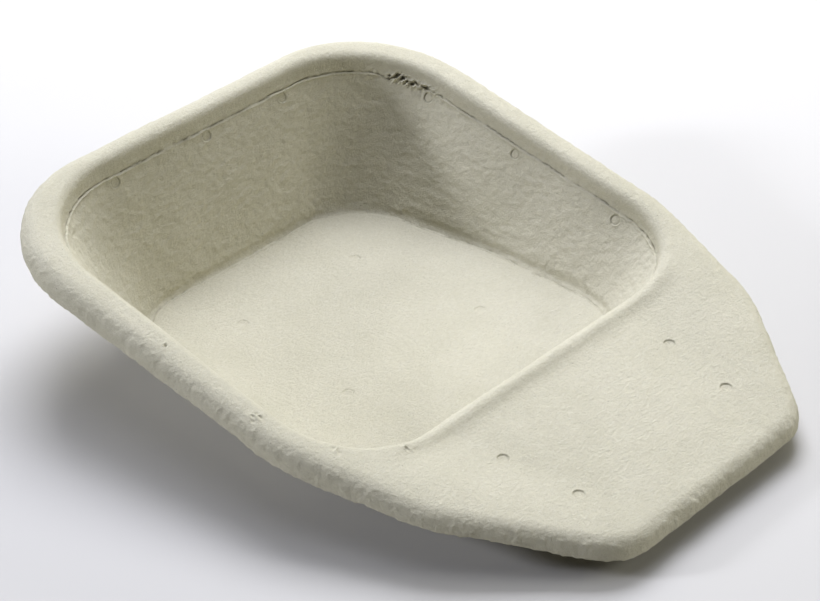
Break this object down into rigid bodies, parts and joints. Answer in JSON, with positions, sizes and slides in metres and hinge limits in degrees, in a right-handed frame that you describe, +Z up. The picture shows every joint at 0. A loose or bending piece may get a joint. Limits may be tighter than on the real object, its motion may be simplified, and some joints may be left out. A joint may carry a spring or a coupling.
{
  "type": "slipper pan",
  "caption": "Shallow moulded-pulp slipper pan: a rectangular basin with a rolled sloping rim and a tapering seat ramp, for use by a patient lying in bed.",
  "frame": {"origin": "centre of the footprint of the whole pan, on the surface it stands on", "axes": "+Z up, +Y towards the deep rear end of the basin, -Y towards the thin front tip of the ramp, X across the pan"},
  "size_m": [0.288, 0.356, 0.0825],
  "materials": {
    "pulp": "matt moulded pulp with a felt-like surface"
  },
  "bodies": {
    "root": {"pulp_pan": "pulp"}
  },
  "joints": []
}
